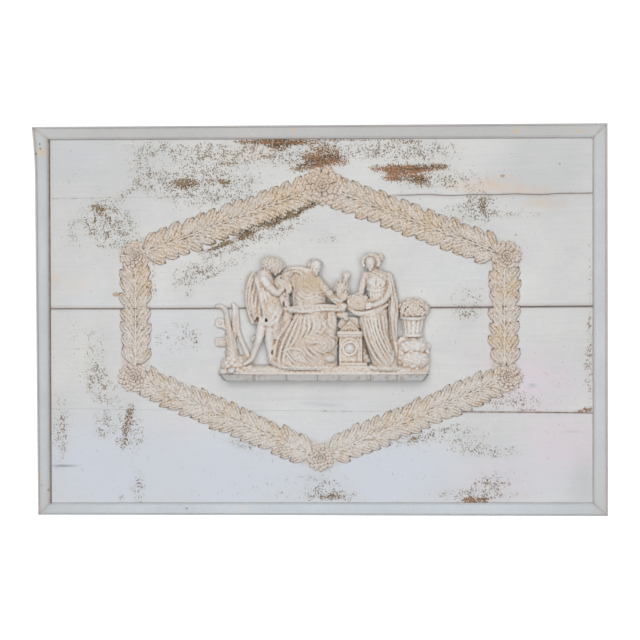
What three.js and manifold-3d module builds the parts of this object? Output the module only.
// A painted board panel in a mitred frame. It carries a hexagonal garland of leaves with six rosettes,
// and a high relief group of figures on a ledge.
// X runs to the right, Z up, and the front faces -Y. The back of the panel is the plane y = 0, and the
// origin is on it, at the middle of the board that is third from the top.
import * as THREE from 'three';
import { mergeVertices } from 'three/addons/utils/BufferGeometryUtils.js';
import Module from 'manifold-3d';

const wasm = await Module();
wasm.setup();

// Driving dimensions, in millimetres.
const gap = 0.3;
const boardThickness = 22;
const frameDepth = 32;
const lipOverlap = 12;
const rebateGap = 1;
const frameOuter = {
  topLeft: [-761.5, 507.5],
  topRight: [750, 517.5],
  bottomRight: [751.5, -514.5],
  bottomLeft: [-744.5, -510.5],
};
const frameInner = {
  topLeft: [-714.5, 474.5],
  topRight: [712.5, 479.5],
  bottomRight: [712.5, -479],
  bottomLeft: [-710, -479],
};
const flareStart = 369;
const flareOut = 7.7;
// Each joint between boards: its height at the left and right ends, and its opening at those ends.
const joints = {
  high: { left: 319, right: 335, openLeft: 0.8, openRight: 2.2, wave: 1.2, phase: 0.4 },
  middle: { left: 31.5, right: 38.5, openLeft: 2.4, openRight: 2.4, wave: 0.9, phase: 1.7 },
  low: { left: -232, right: -244, openLeft: 0.8, openRight: 2.0, wave: 1.0, phase: 2.9 },
};
const jointSteps = 10;

const rosettes = {
  rosette_top: { centre: [1, 353.5], radius: 45 },
  rosette_upper_left: { centre: [-491, 169], radius: 37 },
  rosette_lower_left: { centre: [-495, -149], radius: 37 },
  rosette_bottom: { centre: [-3, -360.5], radius: 35 },
  rosette_lower_right: { centre: [489, -149], radius: 37 },
  rosette_upper_right: { centre: [486, 169], radius: 39 },
};
const rosetteRise = 17;
const petalCount = 8;
const petalNotch = 0.84;
const leafLength = 58;
const leafRise = 10;
const leafWidest = 0.5;
const leafOffset = 3;
// A length takes one more pair of leaves where the room left over is more than a fifth of the pitch.
const extraShare = 0.3;
const stemWidth = 13;
const stemRise = 7;
const clearance = 1;
// Garlands: the pitch of their pairs of leaves, the angle between leaf and stem, and the leaf's width.
const upperSwag = { pitch: 37, spread: 44, leafWidth: 25 };
const lowerSwag = { pitch: 30, spread: 44, leafWidth: 22 };
const upright = { pitch: 35, spread: 40, leafWidth: 25 };
const uprightPlaces = { left: -489, right: 480 };

const ledge = { left: -260, right: 272, height: 16, depth: 52, endSplay: 11, footTaper: 13 };
const ledgeTop = -141;
const figureHeight = 306;
const limbSides = 6;
// Masses whose half sizes add up to less than this get fewer sides.
const smallMass = 40;

// The box that closes everything behind the face of the boards, used to cut applied pieces flat.
const boardFace = -boardThickness;

// Colours read from the paint.
const paint = (name, colour, roughness) => {
  const material = new THREE.MeshStandardMaterial({ color: colour, roughness, metalness: 0 });
  material.name = name;
  return material;
};
const boardPaint = paint('board_paint', 0xcfcfd1, 0.85);
const framePaint = paint('frame_paint', 0xc2c7cb, 0.7);
const garlandPaint = paint('garland_paint', 0xbfb4a6, 0.8);
const figurePaint = paint('figure_paint', 0xc4bbb0, 0.8);
const ledgePaint = paint('ledge_paint', 0xb6b5b3, 0.8);

// From a three.js geometry to a solid and back.
function toSolid(geometry) {
  const bare = geometry.clone();
  bare.deleteAttribute('normal');
  bare.deleteAttribute('uv');
  const merged = mergeVertices(bare, 1e-4);
  const index = merged.index.array;
  const faces = [];
  for (let i = 0; i < index.length; i += 3) {
    const [a, b, c] = [index[i], index[i + 1], index[i + 2]];
    if (a !== b && b !== c && c !== a) faces.push(a, b, c);
  }
  const vertProperties = new Float32Array(merged.attributes.position.array);
  const triVerts = new Uint32Array(faces);
  return new wasm.Manifold(new wasm.Mesh({ numProp: 3, vertProperties, triVerts }));
}

function toGeometry(solid) {
  const mesh = solid.getMesh();
  const geometry = new THREE.BufferGeometry();
  geometry.setAttribute('position', new THREE.BufferAttribute(mesh.vertProperties, 3));
  geometry.setIndex(new THREE.BufferAttribute(mesh.triVerts, 1));
  return geometry;
}

const join = (solids) => solids.reduce((whole, next) => whole.add(next));

function box(minimum, maximum) {
  const size = new THREE.Vector3().subVectors(maximum, minimum);
  const middle = new THREE.Vector3().addVectors(maximum, minimum).multiplyScalar(0.5);
  return toSolid(new THREE.BoxGeometry(size.x, size.y, size.z).translate(middle.x, middle.y, middle.z));
}

// A flat outline in X and Z, extruded between two depths.
function plate(outline, front, back) {
  const shape = new THREE.Shape(outline.map(([x, z]) => new THREE.Vector2(x, z)));
  const geometry = new THREE.ExtrudeGeometry(shape, { depth: back - front, bevelEnabled: false });
  geometry.rotateX(Math.PI / 2);
  geometry.translate(0, back, 0);
  return toSolid(geometry);
}

// Everything applied to the boards stops just in front of them.
const behindFace = box(
  new THREE.Vector3(-900, boardFace - gap, -700),
  new THREE.Vector3(900, 100, 700),
);

function addMesh(name, solid, material) {
  const mesh = new THREE.Mesh(toGeometry(solid), material);
  mesh.name = name;
  panel.add(mesh);
}

const panel = new THREE.Group();

// Boards: their outer ends lie in the frame's rebate, and their long edges follow the joints.
const rebate = {
  left: frameInner.topLeft[0] - lipOverlap,
  right: frameInner.topRight[0] + lipOverlap,
  topLeft: frameInner.topLeft[1] + lipOverlap,
  topRight: frameInner.topRight[1] + lipOverlap,
  bottom: frameInner.bottomLeft[1] - lipOverlap,
};

function jointEdge(joint, side) {
  const points = [];
  for (let i = 0; i <= jointSteps; i += 1) {
    const t = i / jointSteps;
    const x = THREE.MathUtils.lerp(rebate.left, rebate.right, t);
    const middle = THREE.MathUtils.lerp(joint.left, joint.right, t);
    const wander = joint.wave * Math.sin(joint.phase + 9 * t) * Math.cos(4 * t);
    const open = THREE.MathUtils.lerp(joint.openLeft, joint.openRight, t);
    points.push([x, middle + wander + (side * open) / 2]);
  }
  return points;
}

const topEdge = [[rebate.left, rebate.topLeft], [rebate.right, rebate.topRight]];
const bottomEdge = [[rebate.left, rebate.bottom], [rebate.right, rebate.bottom]];
const boards = {
  board_top: [jointEdge(joints.high, 1), topEdge],
  board_upper_middle: [jointEdge(joints.middle, 1), jointEdge(joints.high, -1)],
  board_lower_middle: [jointEdge(joints.low, 1), jointEdge(joints.middle, -1)],
  board_bottom: [bottomEdge, jointEdge(joints.low, -1)],
};
for (const [name, [lower, upper]] of Object.entries(boards)) {
  addMesh(name, plate([...lower, ...[...upper].reverse()], boardFace, 0), boardPaint);
}

// Frame: each member has a lip in front of the boards and a thicker strip outside them, mitred at the
// corners. The outer edge of the left member leans, and flares out near its top.
const rebateWall = {
  topLeft: [rebate.left - rebateGap, rebate.topLeft + rebateGap],
  topRight: [rebate.right + rebateGap, rebate.topRight + rebateGap],
  bottomRight: [rebate.right + rebateGap, rebate.bottom - rebateGap],
  bottomLeft: [rebate.left - rebateGap, rebate.bottom - rebateGap],
};

function flaredEdge() {
  const [bottomX, bottomZ] = frameOuter.bottomLeft;
  const [topX, topZ] = frameOuter.topLeft;
  const lean = (topX + flareOut - bottomX) / (topZ - bottomZ);
  const points = [[bottomX, bottomZ]];
  for (let i = 0; i <= 4; i += 1) {
    const rise = i / 4;
    const z = THREE.MathUtils.lerp(flareStart, topZ, rise);
    points.push([bottomX + lean * (z - bottomZ) - flareOut * rise * rise, z]);
  }
  return points;
}

function member(name, first, last, outerEdge, along) {
  const shift = (point, amount) => [point[0] + along[0] * amount, point[1] + along[1] * amount];
  const half = gap * 0.75;
  const outer = outerEdge.map((point, i) => {
    if (i === 0) return shift(point, half);
    return i === outerEdge.length - 1 ? shift(point, -half) : point;
  });
  const strip = (corners) => [...outer, shift(corners[last], -half), shift(corners[first], half)];
  const lip = plate(strip(frameInner), -frameDepth, boardFace - gap);
  const back = plate(strip(rebateWall), boardFace - gap, 0);
  addMesh(name, lip.add(back), framePaint);
}

const { topLeft, topRight, bottomRight, bottomLeft } = frameOuter;
member('frame_top', 'topLeft', 'topRight', [topLeft, topRight], [1, 0]);
member('frame_right', 'topRight', 'bottomRight', [topRight, bottomRight], [0, -1]);
member('frame_bottom', 'bottomRight', 'bottomLeft', [bottomRight, bottomLeft], [-1, 0]);
member('frame_left', 'bottomLeft', 'topLeft', flaredEdge(), [0, 1]);

// A leaf is a three-sided spindle from its base to its tip: flat towards the board, with a ridge in front.
function leaf(base, tip, width, rise) {
  const axis = new THREE.Vector3().subVectors(tip, base);
  const ridge = (2 * rise) / 3;
  const halfWidth = width / Math.sqrt(3);
  const profile = [[0, 0], [1, leafWidest], [0, 1]];
  const points = profile.map(([r, t]) => new THREE.Vector2(r, t * axis.length()));
  const geometry = new THREE.LatheGeometry(points, 3);
  geometry.scale(halfWidth, 1, ridge);
  const up = axis.normalize();
  const across = new THREE.Vector3(0, -1, 0).cross(up).normalize();
  const outward = new THREE.Vector3().crossVectors(across, up);
  geometry.applyMatrix4(new THREE.Matrix4().makeBasis(across, up, outward));
  geometry.translate(base.x, base.y, base.z);
  return toSolid(geometry);
}

// A point on the panel: x and z across its face, and how far it stands out from the boards.
const out = (x, z, proud) => new THREE.Vector3(x, boardFace - proud, z);

// A length of garland: a rounded stem with pairs of leaves that all point to its far end.
function garland(name, from, to, { pitch, spread, leafWidth }) {
  const start = new THREE.Vector2(...from);
  const run = new THREE.Vector2(...to).sub(start);
  const length = run.length();
  const along = run.clone().normalize();
  const aside = new THREE.Vector2(-along.y, along.x);
  const place = (t, s, proud) => out(
    start.x + along.x * t + aside.x * s,
    start.y + along.y * t + aside.y * s,
    proud,
  );
  const lean = THREE.MathUtils.degToRad(spread);
  const reach = leafLength * Math.cos(lean);
  const count = Math.round((length - reach) / pitch + extraShare) + 1;
  const step = (length - reach) / (count - 1);
  const stem = new THREE.Shape();
  stem.absellipse(0, 0, stemRise, stemWidth / 2, 0, 2 * Math.PI);
  const path = new THREE.LineCurve3(place(0, 0, 1), place(length, 0, 1));
  const bar = new THREE.ExtrudeGeometry(stem, { steps: 1, extrudePath: path, curveSegments: 2 });
  const pieces = [toSolid(bar)];
  for (let i = 0; i < count; i += 1) {
    for (const side of [-1, 1]) {
      const lift = leafRise / 3 + 2 * gap;
      const base = place(i * step, side * leafOffset, lift);
      const tip = place(i * step + reach, side * (leafOffset + leafLength * Math.sin(lean)), lift);
      pieces.push(leaf(base, tip, leafWidth, leafRise));
    }
  }
  addMesh(name, join(pieces).subtract(behindFace), garlandPaint);
}

function jointHeight(joint, x) {
  return THREE.MathUtils.mapLinear(x, rebate.left, rebate.right, joint.left, joint.right);
}

// The swags run straight from one rosette's edge to the next.
function swag(name, fromRosette, toRosette, style) {
  const a = new THREE.Vector2(...rosettes[fromRosette].centre);
  const b = new THREE.Vector2(...rosettes[toRosette].centre);
  const along = new THREE.Vector2().subVectors(b, a).normalize();
  const from = a.addScaledVector(along, rosettes[fromRosette].radius + clearance);
  const to = b.addScaledVector(along, -rosettes[toRosette].radius - clearance);
  garland(name, from.toArray(), to.toArray(), style);
}
swag('garland_upper_left', 'rosette_upper_left', 'rosette_top', upperSwag);
swag('garland_upper_right', 'rosette_upper_right', 'rosette_top', upperSwag);
swag('garland_lower_left', 'rosette_bottom', 'rosette_lower_left', lowerSwag);
swag('garland_lower_right', 'rosette_bottom', 'rosette_lower_right', lowerSwag);

// The upright sides are in two lengths that meet at the middle joint.
for (const [side, x] of Object.entries(uprightPlaces)) {
  const low = rosettes[`rosette_lower_${side}`];
  const high = rosettes[`rosette_upper_${side}`];
  const joint = jointHeight(joints.middle, x);
  const foot = low.centre[1] + low.radius + clearance;
  const head = high.centre[1] - high.radius - clearance;
  garland(`garland_${side}_low`, [x, foot], [x, joint - 2 * clearance], upright);
  garland(`garland_${side}_high`, [x, joint + 2 * clearance], [x, head], upright);
}

// A rosette: a dome in a ring of petals. Its rings go from the rim to the centre, with the share of the
// radius, the height on a petal and the height between two petals.
const rosetteRings = [
  { share: 1, petal: 0.2, notch: 0.1 },
  { share: 0.72, petal: 0.8, notch: 0.4 },
  { share: 0.4, petal: 0.5, notch: 0.4 },
  { share: 0.22, petal: 1, notch: 0.92 },
];
function rosette(name, [x, z], radius) {
  const spokes = 2 * petalCount;
  const profile = [new THREE.Vector2(0, 0)];
  for (const ring of rosetteRings) profile.push(new THREE.Vector2(ring.share * radius, ring.petal));
  profile.push(new THREE.Vector2(0, rosetteRise));
  const geometry = new THREE.LatheGeometry(profile, spokes);
  const points = geometry.attributes.position;
  const rows = profile.length;
  for (let i = 0; i < points.count; i += 1) {
    const ring = rosetteRings[(i % rows) - 1];
    const onNotch = Math.floor(i / rows) % 2 === 1;
    if (ring) points.setY(i, rosetteRise * (onNotch ? ring.notch : ring.petal));
    if (ring && onNotch && ring.share === 1) {
      points.setX(i, points.getX(i) * petalNotch);
      points.setZ(i, points.getZ(i) * petalNotch);
    }
  }
  geometry.rotateX(Math.PI);
  const place = out(x, z, gap);
  addMesh(name, toSolid(geometry.translate(place.x, place.y, place.z)), garlandPaint);
}
for (const [name, { centre, radius }] of Object.entries(rosettes)) rosette(name, centre, radius);

// The ledge: a bar that narrows from the boards to its front and towards its foot.
const ledgeBar = new THREE.BoxGeometry(1, 1, 1);
const corners = ledgeBar.attributes.position;
for (let i = 0; i < corners.count; i += 1) {
  const [side, front, top] = [corners.getX(i) * 2, corners.getY(i) < 0, corners.getZ(i) > 0];
  const end = side < 0 ? ledge.left : ledge.right;
  const inset = (front ? 0 : ledge.endSplay) - (top ? 0 : ledge.footTaper);
  corners.setXYZ(
    i,
    end + side * inset,
    boardFace - (front ? ledge.depth : gap),
    ledgeTop - (top ? 0 : ledge.height),
  );
}
addMesh('group_ledge', toSolid(ledgeBar), ledgePaint);

// Figure group. Its own coordinates are x across the panel, h above the ledge and d out from the boards.
const at = ([x, h, d]) => out(x, ledgeTop + h, d);

// A rounded mass with half sizes across, up and outwards, turned in the plane of the panel.
function mass(centre, [across, up, outward], turn = 0) {
  const fineness = across + up > smallMass ? 8 : 6;
  const geometry = new THREE.SphereGeometry(1, fineness, fineness / 2);
  geometry.rotateX(Math.PI / 2);
  geometry.scale(across, outward, up);
  geometry.rotateY(THREE.MathUtils.degToRad(turn));
  const place = at(centre);
  return toSolid(geometry.translate(place.x, place.y, place.z));
}

// A round limb or roll of cloth through points that each give x, h, d and the radius there.
function limb(points, sides = limbSides) {
  const [first, last] = [points[0], points[points.length - 1]];
  const centres = points.map(at);
  const tangent = (i) => {
    const [before, after] = [Math.max(i - 1, 0), Math.min(i + 1, points.length - 1)];
    return new THREE.Vector3().subVectors(centres[after], centres[before]).normalize();
  };
  const start = centres[0].clone().addScaledVector(tangent(0), -first[3]);
  const end = centres[points.length - 1].clone().addScaledVector(tangent(points.length - 1), last[3]);
  const rows = [
    { centre: start, radius: 0, along: tangent(0) },
    ...centres.map((centre, i) => ({ centre, radius: points[i][3], along: tangent(i) })),
    { centre: end, radius: 0, along: tangent(points.length - 1) },
  ];
  const geometry = new THREE.CylinderGeometry(1, 1, rows.length - 1, sides, rows.length - 1, true);
  const position = geometry.attributes.position;
  for (let i = 0; i < position.count; i += 1) {
    const { centre, radius, along } = rows[Math.round(position.getY(i) + (rows.length - 1) / 2)];
    const aside = new THREE.Vector3(0, 1, 0).cross(along).normalize();
    const outward = new THREE.Vector3().crossVectors(aside, along);
    const point = centre.clone();
    point.addScaledVector(aside, radius * position.getX(i));
    point.addScaledVector(outward, radius * position.getZ(i));
    position.setXYZ(i, point.x, point.y, point.z);
  }
  return toSolid(geometry);
}

// A body or garment through level rings, lowest first, that each give x, h, d and the half sizes across
// and outwards. Pleats make every second edge of it lie deeper.
function robe(rings, pleats, pleatDepth = 0) {
  const rows = rings.length - 1;
  const geometry = new THREE.CylinderGeometry(1, 1, rows, 2 * pleats, rows);
  const position = geometry.attributes.position;
  for (let i = 0; i < position.count; i += 1) {
    const [x, h, d, across, outward] = rings[Math.round(position.getY(i) + rows / 2)];
    const angle = Math.atan2(position.getX(i), position.getZ(i));
    const inPleat = Math.round((angle * pleats) / Math.PI) % 2 !== 0;
    const share = inPleat ? 1 - pleatDepth : 1;
    const point = at([x + across * share * position.getX(i), h, d + outward * share * position.getZ(i)]);
    position.setXYZ(i, point.x, point.y, point.z);
  }
  return toSolid(geometry);
}

// A block with an outline in x and h, from the boards out to a depth.
function block(outline, depth) {
  return plate(outline.map(([x, h]) => [x, ledgeTop + h]), boardFace - depth, boardFace);
}

const rectangle = (left, right, bottom, top) => [[left, bottom], [right, bottom], [right, top], [left, top]];

// The ground slopes up from the front of the ledge to the boards.
function ground() {
  const profile = new THREE.Shape();
  profile.moveTo(0, 0);
  profile.lineTo(48, 0);
  profile.lineTo(46, 5);
  profile.lineTo(30, 17);
  profile.lineTo(0, 28);
  const length = ledge.right - ledge.left;
  const geometry = new THREE.ExtrudeGeometry(profile, { depth: length, bevelEnabled: false });
  // The profile's own axes become outward and up, and its extrusion runs to the left.
  const basis = new THREE.Matrix4().makeBasis(
    new THREE.Vector3(0, -1, 0),
    new THREE.Vector3(0, 0, 1),
    new THREE.Vector3(-1, 0, 0),
  );
  geometry.applyMatrix4(basis);
  const place = at([ledge.right, 0, 0]);
  return [toSolid(geometry.translate(place.x, place.y, place.z))];
}

// A forked tree stump hung with arms, on a mound of rock.
function trophy() {
  return [
    limb([[-232, 40, 12, 17], [-238, 90, 11, 13], [-244, 125, 9, 8], [-253, 172, 8, 6]]),
    limb([[-276, 178, 5, 5], [-252, 173, 9, 9]]),
    limb([[-192, 50, 12, 8], [-206, 78, 12, 7], [-219, 112, 10, 7], [-222, 170, 8, 5]]),
    limb([[-231, 180, 7, 7], [-231, 128, 9, 8], [-226, 100, 9, 6]]),
    mass([-266, 135, 6], [14, 14, 9]),
    limb([[-264, 130, 6, 7], [-240, 112, 8, 8]], 5),
    limb([[-272, 84, 8, 9], [-238, 84, 9, 9]]),
    mass([-244, 54, 9], [10, 10, 9]),
    mass([-222, 24, 10], [44, 28, 20]),
  ];
}

// A youth with curled hair and a cloak, who bows over the middle group.
function youth() {
  return [
    mass([-129, 287, 30], [29, 21, 20], -12),
    mass([-117, 273, 34], [14, 15, 14]),
    limb([[-146, 262, 28, 12], [-130, 282, 28, 12]], 6),
    robe(
      [
        [-122, 92, 24, 14, 14],
        [-127, 118, 26, 24, 19],
        [-130, 150, 27, 29, 20],
        [-137, 190, 28, 32, 19],
        [-149, 236, 29, 29, 20],
        [-151, 262, 28, 20, 16],
        [-146, 276, 28, 10, 10],
      ],
      5,
    ),
    robe(
      [
        [-172, 132, 18, 13, 12],
        [-176, 162, 20, 19, 18],
        [-182, 205, 20, 15, 18],
        [-184, 245, 18, 13, 15],
        [-178, 268, 16, 7, 8],
      ],
      5,
      0.3,
    ),
    limb([[-174, 262, 34, 6], [-166, 222, 42, 7], [-154, 180, 42, 7], [-150, 140, 32, 6]], 5),
    limb([[-146, 240, 40, 13], [-116, 213, 46, 9], [-98, 228, 44, 8]]),
    limb([[-134, 130, 28, 15], [-136, 80, 26, 11], [-134, 36, 24, 9]]),
    mass([-124, 30, 34], [16, 9, 16]),
    limb([[-152, 138, 26, 13], [-159, 100, 34, 10], [-177, 56, 24, 9]]),
    limb([[-162, 98, 30, 8], [-178, 92, 22, 8]], 5),
  ];
}

// A child whose head rests between the youth and the seated woman.
function leaningChild() {
  return [mass([-103, 236, 34], [22, 25, 18]), limb([[-100, 216, 26, 14], [-94, 176, 26, 14]])];
}

// A seated woman in a wide robe, with one arm over the child and the other held out.
function seatedWoman() {
  return [
    mass([-15, 281, 22], [20, 20, 17]),
    limb([[-92, 260, 20, 9], [-64, 270, 23, 12], [-32, 262, 24, 13], [-14, 270, 21, 9]]),
    mass([-78, 240, 20], [17, 26, 13]),
    robe(
      [
        [-32, 160, 34, 38, 24],
        [-33, 200, 30, 42, 25],
        [-34, 222, 27, 40, 23],
        [-38, 246, 24, 33, 18],
        [-42, 270, 22, 15, 10],
      ],
      5,
    ),
    limb([[-8, 240, 24, 12], [18, 212, 34, 11], [44, 190, 38, 9], [60, 174, 38, 9]]),
    limb([[-78, 167, 32, 10], [-40, 170, 46, 12], [10, 172, 46, 12], [54, 168, 36, 10]]),
    robe(
      [
        [-46, 12, 26, 84, 24],
        [-40, 48, 27, 77, 30],
        [-30, 90, 28, 69, 32],
        [-20, 135, 28, 57, 30],
        [-16, 166, 28, 52, 24],
      ],
      9,
      0.16,
    ),
    limb([[-50, 158, 48, 9], [-72, 96, 56, 9], [-104, 24, 44, 8]], 6),
    mass([-8, 124, 46], [38, 28, 18], -12),
    mass([-4, 82, 42], [42, 30, 24]),
    limb([[22, 156, 40, 13], [24, 110, 44, 14]]),
    mass([-62, 44, 38], [26, 18, 20]),
    mass([19, 42, 36], [19, 14, 20]),
    mass([50, 154, 32], [17, 8, 12]),
  ];
}

// A small child with curled hair who holds something up.
function standingChild() {
  return [
    mass([51, 219, 32], [23, 22, 19]),
    limb([[56, 234, 26, 8], [64, 249, 25, 12]], 6),
    limb([[50, 200, 26, 14], [48, 168, 26, 14]], 6),
  ];
}

// An altar with a gabled top, a slab, a plain die with a round boss, and a plinth.
function altar() {
  return [
    block(rectangle(43, 127, 10, 31), 42),
    block(rectangle(44, 106, 28, 101), 33),
    block(rectangle(38, 111, 99, 113), 39),
    block([[43, 112], [104, 112], [73, 142]], 28),
    mass([77, 70, 32], [18, 18, 7]),
  ];
}

// A standing woman with her hair gathered up, who holds out a basket of flowers.
function standingWoman() {
  return [
    mass([131, 294, 27], [27, 22, 19], -8),
    mass([125, 287, 34], [14, 18, 14]),
    mass([150, 307, 22], [11, 11, 11]),
    robe(
      [
        [138, 160, 29, 31, 24],
        [146, 186, 29, 24, 20],
        [144, 218, 29, 26, 20],
        [143, 244, 28, 31, 21],
        [146, 264, 24, 33, 15],
        [138, 274, 24, 11, 11],
        [134, 284, 24, 10, 11],
      ],
      6,
    ),
    limb([[116, 256, 24, 12], [103, 214, 34, 9], [96, 196, 34, 8]]),
    limb([[172, 256, 26, 13], [173, 212, 34, 11], [128, 178, 48, 9]]),
    mass([95, 187, 36], [32, 26, 19]),
    limb([[70, 172, 36, 5], [104, 160, 50, 6], [150, 170, 48, 7]], 5),
    robe(
      [
        [168, 10, 26, 34, 24],
        [160, 42, 28, 33, 27],
        [144, 92, 31, 33, 28],
        [134, 140, 31, 37, 28],
        [138, 168, 30, 32, 24],
      ],
      7,
      0.24,
    ),
    robe(
      [
        [186, 92, 18, 10, 9],
        [185, 132, 20, 14, 16],
        [187, 180, 20, 14, 17],
        [181, 230, 19, 13, 15],
        [172, 264, 18, 10, 9],
      ],
      5,
      0.3,
    ),
    limb([[190, 92, 12, 9], [192, 26, 14, 12]], 6),
  ];
}

// A basket of flowers on a rough plinth of rock.
function flowerBasket() {
  const pieces = [
    robe([[239, 98, 18, 23, 19], [239, 152, 18, 33, 25]], 9, 0.1),
    block([[200, 14], [280, 14], [284, 40], [276, 60], [286, 74], [262, 98], [204, 98], [198, 76]], 26),
    mass([244, 38, 22], [40, 26, 20]),
    mass([240, 74, 20], [38, 22, 18]),
    mass([242, 170, 20], [43, 26, 20]),
  ];
  const blooms = 8;
  for (let i = 0; i < blooms; i += 1) {
    const angle = Math.PI * (0.02 + (0.96 * i) / (blooms - 1));
    const ring = i % 2 ? 0.9 : 0.6;
    const centre = [242 + 40 * ring * Math.cos(angle), 164 + 28 * ring * Math.sin(angle), 42 - 18 * ring];
    pieces.push(mass(centre, [12, 11, 10]));
  }
  return pieces;
}

const figures = join([
  ...ground(),
  ...trophy(),
  ...youth(),
  ...leaningChild(),
  ...seatedWoman(),
  ...standingChild(),
  ...altar(),
  ...standingWoman(),
  ...flowerBasket(),
]);
const underLedgeTop = box(
  new THREE.Vector3(-900, -200, ledgeTop - figureHeight),
  new THREE.Vector3(900, 0, ledgeTop + gap),
);
addMesh('figure_group', figures.subtract(behindFace).subtract(underLedgeTop), figurePaint);

export default panel;
